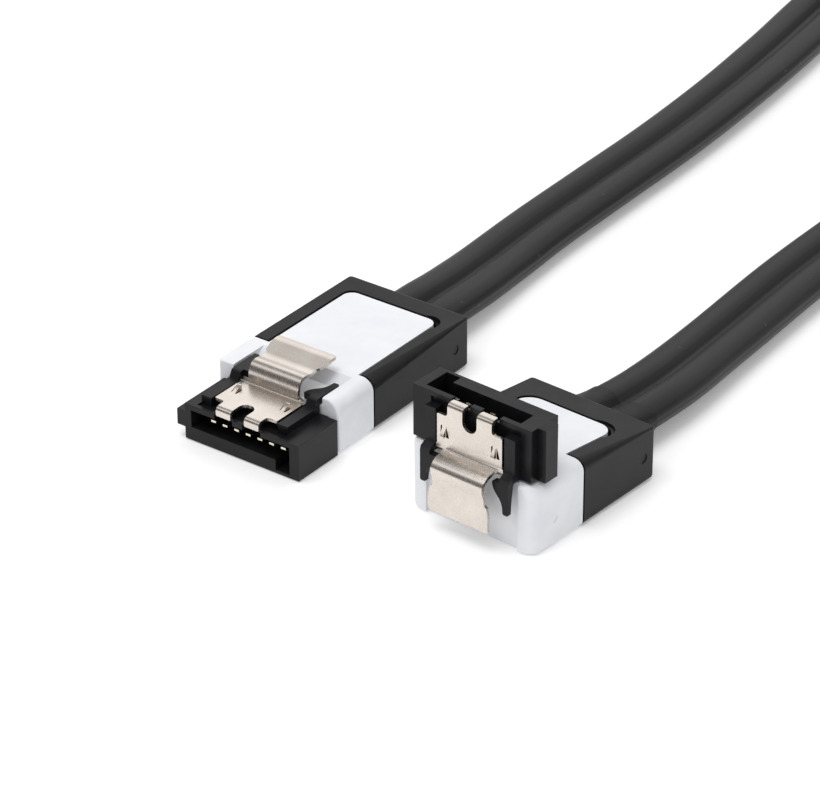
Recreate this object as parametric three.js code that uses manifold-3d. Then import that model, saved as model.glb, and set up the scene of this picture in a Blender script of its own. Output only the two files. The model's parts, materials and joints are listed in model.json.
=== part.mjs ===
// A flat data cable with a straight latching plug on one end and a right-angled one on the other.
// Millimetres, +Z up. Both plugs stand on the plane z = 0 with their cables leaving towards +Y.
import * as THREE from 'three';
import { mergeVertices } from 'three/addons/utils/BufferGeometryUtils.js';
import Module from 'manifold-3d';

const wasm = await Module();
wasm.setup();

// Clearances
const SEAM = 0.2;            // between moulded pieces that are fitted to each other
const WIRE_GAP = 0.2;        // between the ends of conductors that meet
const CABLE_GAP = 0.3;       // between the jacket's end and the moulding it enters
const ABOVE = 20;            // a height that is clear above both plugs

// Contacts, seven in a row
const CONTACT_COUNT = 7;
const CONTACT_PITCH = 1.27;
const CONTACT_WIDTH = 0.5;
const CONTACT_THICKNESS = 0.2;
const CONTACT_OFFSET = 0.53; // the row's centre lies this far to the key side
const CONTACT_TAIL = 2.9;    // how far a contact reaches out behind the housing
const CONTACT_SEAT = 0.35;   // from the slot's top down to the middle of a contact
const CONTACT_FRONT = 0.8;
const CONTACT_BOW = 0.5;     // how far its front hangs down into the slot
const CONTACT_CREST = 2.0;   // from the mouth back to where it starts to rise
const CONTACT_RISE = 1.2;    // from there to where it is straight again

// Mating housing, in its own frame: mouth at y = 0, latch side up, key at +X
const DEPTH_STRAIGHT = 5.4;
const DEPTH_ANGLED = 4.9;
const BODY_HEIGHT = 3.45;
const BODY_INSET = 0.8;      // the body's plain side lies this far inside the moulding's side
const RIB_PROUD = 0.87;
const RIB_HEIGHT = 1.55;
const RIB_BOTTOM = 1.1;
const SLOT_WIDTH_STRAIGHT = 10.7;
const SLOT_WIDTH_ANGLED = 9.9;
const SLOT_HEIGHT = 1.65;
const SLOT_FLOOR = 1.3;
const BACK_WALL = 0.8;       // from the slot's end to the housing's back
const SLOT_SIDE_WALL = 1.0;  // beside the key
const KEY_WIDTH = 1.5;
const KEY_DROP = 1.0;
const LIP_DEPTH = 0.45;      // the strip of wall over the slot's mouth
const POCKET_FLOOR_WALL = 0.3;
const DECK_HALF_WIDTH = 4.7;
const DECK_HEIGHT = 0.75;
const DECK_SETBACK = 1.0;
const FINGER_CLEARANCE = 0.2;

// Latch, one sheet of spring steel
const SHEET = 0.3;
const PLATE_WIDTH = 6.8;
const PLATE_SHOULDER = 1.25; // from the mouth back to the plate's front corners
const PLATE_TOP = 4.25;
const FINGER_WIDTH = 1.57;
const FINGER_GAP = 1.5;
const FINGER_DROP = 0.7;
const NOTCH_DEPTH = 0.7;     // of the round notch between the fingers, into the plate
const FOOT_INSET = 0.3;      // from the housing's back forward to where the sheet turns up
const STRIP_WIDTH = 5.4;
const STRIP_FILLET = 0.1;
const EAR_PROUD = 0.1;       // ears at the plate's rear corners
const EAR_LENGTH = 0.5;
const EAR_SETBACK = 0.28;    // from the foot forward to where the ears end
const RAMP_RUN = 0.12;       // from the foot back to where the sheet starts to arch over
const RAMP_RISE = 1.2;
const HUMP_RUN = 0.75;       // from the foot back to the hump's crest
const HUMP_RISE = 1.95;
const VALLEY_RUN = 2.0;
const VALLEY_RISE = 1.58;
const TAB_WIDTH = 6.3;
const TAB_LENGTH = 3.0;
const TAB_RISE = 0.35;
const TAB_SHOULDER = 0.3;
const CURL_LENGTH = 0.6;     // the tab's end dips a little
const CURL_DROP = 0.1;
const BEND_RADIUS = 0.45;
const BARB_HOLE = 0.3;       // width of the hole beside a barb
const BARB_LENGTH = 1.1;
const BARB_INSET = 0.75;     // from the plate's side to the barb's middle
const BARB_SETBACK = 1.3;    // from the foot forward to the barb's rear end
const BARB_LIFT = 0.35;
const BARB_WIDTH = 0.36;
const BARB_MARGIN = 0.04;
const BARB_ROOT = 0.1;       // how deep the tongue is rooted in the plate
const LIFT_STRAIGHT = 5;     // degrees by which each latch's tab is set up or down
const LIFT_ANGLED = -5;

// Wings that reach from the housing over the moulding, beside the latch
const WING_OUTER = 4.65;
const WING_ROOT_WIDTH = 1.7;
const WING_TIP_WIDTH = 0.6;
const WING_LENGTH = 2.9;
const WING_THICKNESS = 0.35;
const WING_TOP = 4.95;
const WING_LAP = 0.7;        // of its root on the housing
const WING_GUSSET = 1.4;     // thicker stretch behind the housing
const WING_CORNER = 0.1;
const WING_FOOT_GAP = 0.05;  // between its root and the latch's pocket

// Two-colour moulding: a pale core and a dark U-shaped frame around its back
const MOULD_WIDTH = 13.2;
const MOULD_LEFT_EDGE = 0.2; // radius of the long top edge on the left
const MOULD_RIGHT_EDGE = 1.15; // the right one is round at the front and sharpens to the back
const MOULD_RIGHT_EDGE_BACK = 0.1;
const MOULD_FOOT_EDGE = 0.45;
const MOULD_BACK_END = 0.35; // radius of the upright edges at the back
const MOULD_END_FALL = 0.3;  // how much the top falls for each unit that an end draws in
const STRAIGHT_LENGTH = 18.9;
const STRAIGHT_FRONT = 4.9;  // from the moulding's front to the frame
const STRAIGHT_HEIGHT = 5.0;
const STRAIGHT_END = 0.35;   // radius of the upright edges at the front
const STRAIGHT_ROUND = 6.5;  // how far back the right edge stays round
const STRAIGHT_ARM = 1.6;    // width of the frame's arms
const STRAIGHT_BAR = 2.2;    // width of the frame's back
const STRAIGHT_CORNER = 1.0; // of the pale panel
const ANGLED_LENGTH = 16.4;
const ANGLED_FRONT = 6.5;
const ANGLED_SEAT = 6.4;     // height of the flat that carries the upright housing
const ANGLED_SEAT_LENGTH = 4.9;
const ANGLED_BACK_HEIGHT = 5.1;
const ANGLED_END = 1.0;
const ANGLED_ARM = 1.9;
const ANGLED_BAR = 2.9;
const ANGLED_CORNER = 1.5;
const ANGLED_HOUSING_BACK = 3.95; // from the moulding's front to the upright housing's underside
const RECESS_GAP = 0.2;      // beside the wings
const RECESS_DEPTH = 0.8;
const RECESS_FLAT = 3.0;     // length of the recess's floor, under the wings
const RECESS_LENGTH = 4.2;
const RECESS_UPRIGHT = 0.35; // its depth in the right-angled moulding's front

// Passage through the mouldings, with the conductors in it
const PASSAGE_HEIGHT = 1.7;
const PASSAGE_WALL = 0.45;   // beside the outer contacts
const CABLE_HEIGHT = 2.5;    // of the cable's middle where it enters a moulding
const PAIR_SPACING = 3.6;
const PAIR_WIDTH = 2.2;
const PAIR_THICKNESS = 1.3;
const SIGNAL_RADIUS = 0.28;
const GROUND_RADIUS = 0.15;
const SIGNAL_SPREAD = 0.5;   // from a pair's middle to each of its wires
const GROUND_SPREAD = 0.97;
const FAN_LENGTH = 4.5;      // over which the wires gather from the contacts into the pairs
const FAN_LEAD = 1.1;        // straight stretch at each end of the fan
const WIRE_BEND = 1.2;       // how far a wire reaches back as it turns from upright to level

// Where the right-angled plug stands beside the straight one
const ANGLED_X = 22.88;
const ANGLED_Y = -3.32;
const ANGLED_TURN = -3.28;

// Flat twin-lobed jacket
const CABLE_WIDTH = 7.2;
const CABLE_THICKNESS = 2.7;
const CABLE_WAIST = 1.4;
const CABLE_STEPS = 64;

// The cable's middle line from the straight plug to the angled one: x, y, z and twist in degrees.
// It drops to the surface, lies there slightly rolled, then turns on edge and loops back past the tie.
const CABLE_ROUTE = [
  [-0.1, 22.4, 2.4, 0], [-0.45, 27.4, 2.0, -2], [-1.05, 33.4, 1.62, -4],
  [-1.6, 41.4, 1.55, -5], [-1.9, 52.4, 1.55, -5], [-2.2, 64.4, 1.55, -5], [-3.0, 76.4, 1.55, -5],
  [-4.3, 88.4, 1.52, -3], [-5.8, 99.4, 1.5, 0], [-6.5, 109.4, 2.2, 15], [-5.7, 119.0, 3.4, 46],
  [-3.4, 129.4, 3.85, 78], [-0.6, 140.0, 4.1, 90], [2.6, 150.4, 4.5, 90], [4.2, 159.4, 4.65, 90],
  [3.3, 166.7, 4.5, 90], [0.6, 173.5, 4.1, 90], [-5.0, 183.4, 3.7, 90], [-11.2, 193.6, 3.65, 90],
  [-16.8, 204.0, 3.65, 90], [-19.3, 215.4, 3.65, 90], [-17.3, 226.8, 3.65, 90], [-10.4, 236.3, 3.65, 90],
  [0.5, 241.8, 3.65, 90], [12.6, 242.0, 3.65, 90], [23.8, 236.9, 3.65, 90], [31.2, 227.6, 3.65, 90],
  [33.5, 216.2, 3.65, 90], [30.9, 204.4, 3.65, 90], [24.4, 193.6, 3.65, 90], [17.8, 183.4, 3.7, 90],
  [11.3, 173.5, 4.1, 90], [8.7, 166.7, 4.5, 90], [7.8, 159.4, 4.65, 90], [9.2, 150.0, 4.5, 90],
  [12.4, 139.0, 4.1, 90], [15.8, 128.0, 3.85, 76], [19.0, 117.0, 3.4, 46], [21.6, 106.0, 2.2, 15],
  [23.1, 95.0, 1.66, 6], [23.15, 81.0, 1.6, 6], [22.95, 66.4, 1.6, 6], [22.9, 48.4, 1.61, 6],
  [23.7, 32.4, 1.69, 7], [24.3, 22.4, 2.15, 4],
];
const TIE_POINTS = [14, 33]; // the two route points that the tie holds, counted from 0
const TIE_THICKNESS = 0.7;
const TIE_LENGTH = 4.0;
const TIE_SLACK = 0.45;

const plastic = (color, roughness) => new THREE.MeshStandardMaterial({ color, roughness });
const metal = (color, roughness) => new THREE.MeshStandardMaterial({ color, roughness, metalness: 1 });
const materials = {
  housing: plastic(0x1b1b1d, 0.45),
  core: plastic(0xe9eaee, 0.4),
  frame: plastic(0x2b2b2d, 0.5),
  jacket: plastic(0x333335, 0.55),
  steel: metal(0xcfc9c0, 0.3),
  contact: metal(0xd8b26a, 0.25),
  copper: metal(0xb87348, 0.35),
  foil: metal(0xc9ccd1, 0.4),
  signal: plastic(0xd8d8d4, 0.5),
  tie: plastic(0x202022, 0.6),
};

// Solids

function toSolid(geometry) {
  const bare = geometry.clone();
  bare.deleteAttribute('normal');
  bare.deleteAttribute('uv');
  const merged = mergeVertices(bare, 1e-5);
  return new wasm.Manifold(new wasm.Mesh({
    numProp: 3,
    vertProperties: new Float32Array(merged.attributes.position.array),
    triVerts: new Uint32Array(merged.index.array),
  }));
}

function toMesh(name, solid, material) {
  const { vertProperties, triVerts, numProp } = solid.getMesh();
  const geometry = new THREE.BufferGeometry();
  const position = new Float32Array(vertProperties.length / numProp * 3);
  for (let i = 0; i < position.length / 3; i += 1) {
    position.set(vertProperties.subarray(i * numProp, i * numProp + 3), i * 3);
  }
  geometry.setAttribute('position', new THREE.BufferAttribute(position, 3));
  geometry.setIndex(Array.from(triVerts));
  geometry.computeVertexNormals();
  const mesh = new THREE.Mesh(geometry, material);
  mesh.name = name;
  return mesh;
}

function block([x0, x1], [y0, y1], [z0, z1]) {
  const geometry = new THREE.BoxGeometry(x1 - x0, y1 - y0, z1 - z0);
  geometry.translate((x0 + x1) / 2, (y0 + y1) / 2, (z0 + z1) / 2);
  return toSolid(geometry);
}

function extruded(points, depth, steps = 1) {
  const outline = points.map(([u, v]) => new THREE.Vector2(u, v));
  return new THREE.ExtrudeGeometry(new THREE.Shape(outline), { depth, steps, bevelEnabled: false });
}

// Outline in (x, y), raised along Z
function prismZ(points, [z0, z1]) {
  return toSolid(extruded(points, z1 - z0).translate(0, 0, z0));
}

// Outline in (y, z), drawn out along X
function prismX(points, [x0, x1]) {
  const turn = new THREE.Matrix4().makeBasis(
    new THREE.Vector3(0, 1, 0), new THREE.Vector3(0, 0, 1), new THREE.Vector3(1, 0, 0));
  return toSolid(extruded(points, x1 - x0).applyMatrix4(turn).translate(x0, 0, 0));
}

// Outline in (x, z), drawn out along Y
function prismY(points, [y0, y1]) {
  return toSolid(extruded(points, y1 - y0).rotateX(Math.PI / 2).translate(0, y1, 0));
}

// The outline whose right half is given, with its left half added
const mirrored = (points) => [...points, ...points.map(([x, y]) => [-x, y]).reverse()];

// A quarter turn of points about a centre, from one angle to another, in degrees
function arc([cx, cy], radius, from, to, steps = 4) {
  return Array.from({ length: steps + 1 }, (_, i) => {
    const a = THREE.MathUtils.degToRad(from + (to - from) * i / steps);
    return [cx + radius * Math.cos(a), cy + radius * Math.sin(a)];
  });
}

// A polyline whose inner corners are rounded by short curves
function softened(points, radius, steps = 4) {
  const vectors = points.map(([u, v]) => new THREE.Vector2(u, v));
  const path = [points[0]];
  for (let i = 1; i < vectors.length - 1; i += 1) {
    const corner = vectors[i];
    const before = vectors[i - 1].clone().sub(corner);
    const after = vectors[i + 1].clone().sub(corner);
    const trim = Math.min(radius, before.length() * 0.48, after.length() * 0.48);
    const curve = new THREE.QuadraticBezierCurve(
      corner.clone().add(before.setLength(trim)), corner, corner.clone().add(after.setLength(trim)));
    path.push(...curve.getPoints(steps).map((p) => [p.x, p.y]));
  }
  path.push(points.at(-1));
  return path;
}

// The closed outline of a sheet that follows a path, half its thickness to each side
function thickened(path, thickness) {
  const sides = [1, -1].map((side) => path.map(([u, v], i) => {
    const [u0, v0] = path[Math.max(i - 1, 0)];
    const [u1, v1] = path[Math.min(i + 1, path.length - 1)];
    const length = Math.hypot(u1 - u0, v1 - v0);
    const shift = side * thickness / 2 / length;
    return [u - (v1 - v0) * shift, v + (u1 - u0) * shift];
  }));
  return [...sides[0], ...sides[1].reverse()];
}

// A solid through rings of points that all have the same count, closed by flat ends. Seen from
// beyond the last ring, the rings run anticlockwise.
function loft(rings) {
  const count = rings[0].length;
  const position = rings.flat(2);
  const index = [];
  for (let r = 0; r < rings.length - 1; r += 1) {
    for (let i = 0; i < count; i += 1) {
      const a = r * count + i;
      const b = r * count + (i + 1) % count;
      index.push(a, a + count, b, b, a + count, b + count);
    }
  }
  const last = (rings.length - 1) * count;
  for (let i = 1; i < count - 1; i += 1) {
    index.push(0, i, i + 1, last, last + i + 1, last + i);
  }
  const geometry = new THREE.BufferGeometry();
  geometry.setAttribute('position', new THREE.Float32BufferAttribute(position, 3));
  geometry.setIndex(index);
  return toSolid(geometry);
}

// Where things lie in the housing's frame
const bodyRight = MOULD_WIDTH / 2;
const bodyLeft = -(MOULD_WIDTH / 2 - BODY_INSET);
const slotRight = bodyRight - SLOT_SIDE_WALL;
const slotTop = SLOT_FLOOR + SLOT_HEIGHT;
const contactZ = slotTop - CONTACT_SEAT;
const plateMid = PLATE_TOP - SHEET / 2;
const pocketHalf = PLATE_WIDTH / 2 + SEAM;
const contactX = Array.from({ length: CONTACT_COUNT },
  (_, i) => CONTACT_OFFSET + (i - (CONTACT_COUNT - 1) / 2) * CONTACT_PITCH);

// Insulating body with the keyed slot, the latch's pocket and the two wings
function housing(slotWidth, depth) {
  const slotLeft = slotRight - slotWidth;
  const deckTop = BODY_HEIGHT + DECK_HEIGHT;
  const rib = [RIB_BOTTOM, RIB_BOTTOM + RIB_HEIGHT];
  let solid = block([bodyLeft, bodyRight], [0, depth], [0, BODY_HEIGHT])
    .add(block([bodyLeft - RIB_PROUD, bodyLeft + SLOT_SIDE_WALL / 2], [0, depth], rib))
    .add(block([-DECK_HALF_WIDTH, DECK_HALF_WIDTH], [DECK_SETBACK, depth],
      [BODY_HEIGHT / 2, deckTop]));

  const mouth = [-1, depth - BACK_WALL];
  solid = solid
    .subtract(block([slotLeft, slotRight], mouth, [SLOT_FLOOR, slotTop]))
    .subtract(block([slotRight - KEY_WIDTH, slotRight], mouth, [SLOT_FLOOR - KEY_DROP, slotTop]));

  const pocketFloor = slotTop + POCKET_FLOOR_WALL;
  const pocket = [pocketFloor, deckTop + 1];
  const trench = [pocketFloor, deckTop];
  solid = solid
    .subtract(block([-pocketHalf, pocketHalf], [LIP_DEPTH, depth + 1], pocket))
    .subtract(block([-DECK_HALF_WIDTH, DECK_HALF_WIDTH], [LIP_DEPTH, DECK_SETBACK], trench));

  for (const side of [-1, 1]) {
    const middle = side * (FINGER_GAP + FINGER_WIDTH) / 2;
    const half = FINGER_WIDTH / 2 + FINGER_CLEARANCE;
    solid = solid.subtract(block([middle - half, middle + half], [-1, LIP_DEPTH + 0.1],
      [slotTop - 0.1, BODY_HEIGHT + 1]));
    solid = solid.add(wing(side, depth));
  }

  for (const x of contactX) {
    const half = CONTACT_WIDTH / 2 + SEAM;
    const hole = CONTACT_THICKNESS / 2 + SEAM;
    solid = solid.subtract(block([x - half, x + half], [mouth[1] - SEAM, depth + 1],
      [contactZ - hole, contactZ + hole]));
  }
  return solid;
}

function wing(side, depth) {
  const rootInner = WING_OUTER - WING_ROOT_WIDTH;
  const tipInner = WING_OUTER - WING_TIP_WIDTH;
  const tip = depth + WING_LENGTH;
  const front = depth - WING_LAP;
  const back = depth + WING_CORNER;
  const foot = pocketHalf + WING_FOOT_GAP;
  const inner = new THREE.CubicBezierCurve(
    new THREE.Vector2(rootInner, depth + WING_LENGTH * 0.1),
    new THREE.Vector2(rootInner + 0.2, depth + WING_LENGTH * 0.5),
    new THREE.Vector2(tipInner, depth + WING_LENGTH * 0.4),
    new THREE.Vector2(tipInner, tip - WING_CORNER));
  const plan = [[WING_OUTER, front], [WING_OUTER, tip - WING_CORNER], [WING_OUTER - WING_CORNER, tip],
    [tipInner + WING_CORNER, tip], ...inner.getPoints(8).reverse().map((p) => [p.x, p.y]),
    [rootInner, back], [foot, back], [foot, front]];
  const under = WING_TOP - WING_THICKNESS;
  const deckTop = BODY_HEIGHT + DECK_HEIGHT;
  const profile = [[front, BODY_HEIGHT / 2], [front, deckTop],
    [depth - WING_LAP / 2, WING_TOP - WING_CORNER], [depth, WING_TOP],
    [tip, WING_TOP], [tip, under], [depth + WING_GUSSET, under - WING_CORNER],
    [back, deckTop + WING_CORNER], [depth, deckTop], [depth, BODY_HEIGHT / 2]];
  const solid = prismZ(plan, [0, WING_TOP + 1]).intersect(prismX(profile, [0, WING_OUTER + 1]));
  return side > 0 ? solid : solid.mirror([1, 0, 0]);
}

// Spring latch: two hooked fingers, a plate with two barbs, a hump and the thumb tab
function latch(lift, foot) {
  const turned = ([along, up]) => {
    const a = THREE.MathUtils.degToRad(lift);
    const y = foot + along * Math.cos(a) - up * Math.sin(a);
    return [y, plateMid + along * Math.sin(a) + up * Math.cos(a)];
  };
  const tip = SHEET / 2;
  const tabEnd = VALLEY_RUN + TAB_LENGTH;
  const tabRise = VALLEY_RISE + TAB_RISE;
  const path = softened([
    [tip, plateMid - FINGER_DROP], [tip, plateMid], [foot, plateMid],
    turned([RAMP_RUN, RAMP_RISE]), turned([HUMP_RUN, HUMP_RISE]), turned([VALLEY_RUN, VALLEY_RISE]),
    turned([tabEnd - CURL_LENGTH, tabRise]), turned([tabEnd, tabRise - CURL_DROP]),
  ], BEND_RADIUS);
  const sheet = prismX(thickened(path, SHEET), [-PLATE_WIDTH, PLATE_WIDTH]);
  let solid = sheet.intersect(prismZ(latchOutline(foot), [0, ABOVE]));

  const rear = foot - BARB_SETBACK;
  const front = rear - BARB_LENGTH;
  const root = PLATE_TOP - BARB_ROOT;
  const raised = [[front + BARB_MARGIN, root], [rear - BARB_MARGIN, root],
    [rear - BARB_MARGIN, PLATE_TOP + BARB_LIFT]];
  for (const side of [-1, 1]) {
    const left = side * (PLATE_WIDTH / 2 - BARB_INSET) - BARB_WIDTH / 2;
    const right = left + BARB_WIDTH;
    const edge = left - BARB_MARGIN;
    const hole = [[edge, front], [edge, rear], [edge - BARB_HOLE, rear]];
    solid = solid
      .subtract(prismZ(hole, [0, PLATE_TOP + 1]))
      .add(prismX(raised, [left, right]));
  }
  return solid;
}

// The latch as seen from above, flattened
function latchOutline(foot) {
  const gap = FINGER_GAP / 2;
  const finger = gap + FINGER_WIDTH;
  const fillet = DECK_SETBACK / 4;
  const plate = PLATE_WIDTH / 2;
  const ear = plate + EAR_PROUD;
  const earBack = foot - EAR_SETBACK;
  const strip = STRIP_WIDTH / 2;
  const notch = PLATE_SHOULDER + NOTCH_DEPTH - gap;
  return mirrored([
    ...arc([0, notch], gap, 80, 0, 3), [gap, -1], [finger, -1], [finger, PLATE_SHOULDER - fillet],
    [finger + fillet, PLATE_SHOULDER], [plate - EAR_PROUD, PLATE_SHOULDER],
    [plate, PLATE_SHOULDER + EAR_PROUD], [plate, earBack - EAR_LENGTH],
    [ear, earBack - EAR_LENGTH + EAR_PROUD], [ear, earBack], [strip + STRIP_FILLET, earBack],
    [strip, earBack + STRIP_FILLET], [strip, foot + VALLEY_RUN - 2 * TAB_SHOULDER],
    [strip + TAB_SHOULDER, foot + VALLEY_RUN], [TAB_WIDTH / 2, foot + VALLEY_RUN + TAB_LENGTH + 1],
  ]);
}

// Spring contact: its front hangs into the slot and its tail passes through the housing's back wall
function contact(x, depth) {
  const path = softened([
    [CONTACT_FRONT, contactZ - CONTACT_BOW], [CONTACT_CREST, contactZ - CONTACT_BOW],
    [CONTACT_CREST + CONTACT_RISE, contactZ], [depth + CONTACT_TAIL, contactZ],
  ], CONTACT_BOW, 3);
  return prismX(thickened(path, CONTACT_THICKNESS), [x - CONTACT_WIDTH / 2, x + CONTACT_WIDTH / 2]);
}

// Mouldings. The sides give the height and the radius of the right top edge at each y.

function mouldBlank(length, frontEnd, sides) {
  const sideAt = (y) => {
    const from = Math.min(sides.findLastIndex(([at]) => at <= y), sides.length - 2);
    const [y0, ...values0] = sides[from];
    const [y1, ...values1] = sides[from + 1];
    return values0.map((value, i) => THREE.MathUtils.mapLinear(y, y0, y1, value, values1[i]));
  };
  const frontArc = arc([frontEnd, 0], frontEnd, 180, 90, 3);
  const backArc = arc([length - MOULD_BACK_END, 0], MOULD_BACK_END, 90, 0, 3);
  const stations = [
    ...frontArc.map(([y, grow]) => [y, frontEnd - grow]),
    ...sides.slice(1, -1).map(([y]) => [y, 0]),
    ...backArc.map(([y, grow]) => [y, MOULD_BACK_END - grow]),
  ];
  const footEdge = MOULD_FOOT_EDGE;
  const leftEdge = MOULD_LEFT_EDGE;
  return loft(stations.map(([y, inset]) => {
    const side = MOULD_WIDTH / 2 - inset;
    const [height, rightEdge] = sideAt(y);
    const top = height - inset * MOULD_END_FALL;
    const outline = [
      ...arc([side - footEdge, footEdge], footEdge, -90, 0, 2),
      ...arc([side - rightEdge, top - rightEdge], rightEdge, 0, 90),
      ...arc([leftEdge - side, top - leftEdge], leftEdge, 90, 180, 2),
      ...arc([footEdge - side, footEdge], footEdge, 180, 270, 2),
    ];
    return outline.map(([x, z]) => [x, y, z]);
  }));
}

const passage = [CABLE_HEIGHT - PASSAGE_HEIGHT / 2, CABLE_HEIGHT + PASSAGE_HEIGHT / 2];
const pairPassage = (PAIR_SPACING + PAIR_WIDTH) / 2 + SEAM;
const contactReach = CONTACT_PITCH * (CONTACT_COUNT - 1) / 2 + CONTACT_WIDTH / 2 + PASSAGE_WALL;

// The pale panel between the frame's arms, seen from above
function tongueOutline(front, length, [arm, bar, corner], grow) {
  const side = MOULD_WIDTH / 2 - arm + grow;
  const back = length - bar + grow;
  return mirrored([[side, front], ...arc([side - corner, back - corner], corner, 0, 90)]);
}

function mouldCore(blank, front, length, frame) {
  const tongue = tongueOutline(front - 1, length, frame, -SEAM / 2);
  return blank
    .intersect(block([-MOULD_WIDTH, MOULD_WIDTH], [-1, front], [-1, ABOVE])
      .add(prismZ(tongue, [-1, ABOVE])))
    .subtract(block([-pairPassage, pairPassage], [front, length], passage));
}

function mouldFrame(blank, front, length, frame) {
  const tongue = tongueOutline(front - 1, length, frame, SEAM / 2);
  return blank
    .subtract(block([-MOULD_WIDTH, MOULD_WIDTH], [-1, front + SEAM], [-1, ABOVE]))
    .subtract(prismZ(tongue, [-1, ABOVE]))
    .subtract(block([-pairPassage, pairPassage], [front, length + 1], passage));
}

// The hollow under the tab, as wide as the wings need
const recessHalf = WING_OUTER + RECESS_GAP;

// Conductors

function wire(points, radius) {
  const middles = points.map((p) => new THREE.Vector3(...p));
  const curve = new THREE.CatmullRomCurve3(middles, false, 'centripetal');
  const circle = new THREE.Shape(Array.from({ length: 8 }, (_, i) => new THREE.Vector2(
    radius * Math.cos(i * Math.PI / 4), radius * Math.sin(i * Math.PI / 4))));
  return toSolid(new THREE.ExtrudeGeometry(circle, { steps: 10, extrudePath: curve, bevelEnabled: false }));
}

function pairBar(x, [y0, y1]) {
  const r = PAIR_THICKNESS / 2;
  const reach = PAIR_WIDTH / 2 - r;
  const right = arc([x + reach, CABLE_HEIGHT], r, -90, 90, 6);
  const left = arc([x - reach, CABLE_HEIGHT], r, 90, 270, 6);
  return prismY([...right, ...left], [y0, y1]);
}

// Contacts 2 and 3 feed the first pair, 5 and 6 the second, and 1, 4 and 7 are the grounds
const pairX = [-PAIR_SPACING / 2, PAIR_SPACING / 2];
const signalEnds = [
  [1, pairX[0] - SIGNAL_SPREAD], [2, pairX[0] + SIGNAL_SPREAD],
  [4, pairX[1] - SIGNAL_SPREAD], [5, pairX[1] + SIGNAL_SPREAD],
];
const groundEnds = [
  [0, pairX[0] - GROUND_SPREAD], [3, pairX[0] + GROUND_SPREAD], [6, pairX[1] + GROUND_SPREAD],
];

function addWires(group, label, route) {
  signalEnds.forEach(([at, end], i) => {
    const solid = wire(route(contactX[at], end), SIGNAL_RADIUS);
    group.add(toMesh(`signal_wire_${label}_${i + 1}`, solid, materials.signal));
  });
  groundEnds.forEach(([at, end], i) => {
    const solid = wire(route(contactX[at], end), GROUND_RADIUS);
    group.add(toMesh(`ground_wire_${label}_${i + 1}`, solid, materials.copper));
  });
}

function addPairs(group, label, from, to) {
  pairX.forEach((x, i) => {
    group.add(toMesh(`shielded_pair_${label}_${i + 1}`, pairBar(x, [from, to]), materials.foil));
  });
}

function matingEnd(label, { lift, slotWidth, depth }) {
  const group = new THREE.Group();
  group.add(toMesh(`housing_${label}`, housing(slotWidth, depth), materials.housing));
  group.add(toMesh(`latch_${label}`, latch(lift, depth - FOOT_INSET), materials.steel));
  contactX.forEach((x, i) => {
    group.add(toMesh(`contact_${label}_${i + 1}`, contact(x, depth), materials.contact));
  });
  return group;
}

// Plugs, each in a frame with its moulding's front at y = 0 and the cable leaving towards +Y

function straightPlug() {
  const group = new THREE.Group();
  const end = matingEnd('straight',
    { lift: LIFT_STRAIGHT, slotWidth: SLOT_WIDTH_STRAIGHT, depth: DEPTH_STRAIGHT });
  end.position.y = -(DEPTH_STRAIGHT + SEAM);
  group.add(end);

  const blank = mouldBlank(STRAIGHT_LENGTH, STRAIGHT_END, [
    [0, STRAIGHT_HEIGHT, MOULD_RIGHT_EDGE], [STRAIGHT_ROUND, STRAIGHT_HEIGHT, MOULD_RIGHT_EDGE],
    [STRAIGHT_LENGTH, STRAIGHT_HEIGHT, MOULD_RIGHT_EDGE_BACK],
  ]);
  const frameSizes = [STRAIGHT_ARM, STRAIGHT_BAR, STRAIGHT_CORNER];
  const fanFront = CONTACT_TAIL - SEAM + WIRE_GAP;
  const fanBack = fanFront + FAN_LENGTH;
  const recessFloor = STRAIGHT_HEIGHT - RECESS_DEPTH;
  const recess = [[-1, STRAIGHT_HEIGHT + 1], [-1, recessFloor], [RECESS_FLAT, recessFloor],
    [RECESS_LENGTH, STRAIGHT_HEIGHT], [RECESS_LENGTH, STRAIGHT_HEIGHT + 1]];
  const width = [CONTACT_OFFSET - contactReach, CONTACT_OFFSET + contactReach];
  const core = mouldCore(blank, STRAIGHT_FRONT, STRAIGHT_LENGTH, frameSizes)
    .subtract(prismX(recess, [-recessHalf, recessHalf]))
    .subtract(block(width, [-1, fanBack], passage));
  group.add(toMesh('mould_core_straight', core, materials.core));
  const frame = mouldFrame(blank, STRAIGHT_FRONT, STRAIGHT_LENGTH, frameSizes);
  group.add(toMesh('mould_frame_straight', frame, materials.frame));

  addWires(group, 'straight', (x, end) => [
    [x, fanFront, contactZ], [x, fanFront + FAN_LEAD, contactZ],
    [end, fanBack - FAN_LEAD, CABLE_HEIGHT], [end, fanBack - WIRE_GAP, CABLE_HEIGHT],
  ]);
  addPairs(group, 'straight', fanBack, STRAIGHT_LENGTH);
  return group;
}

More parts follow.
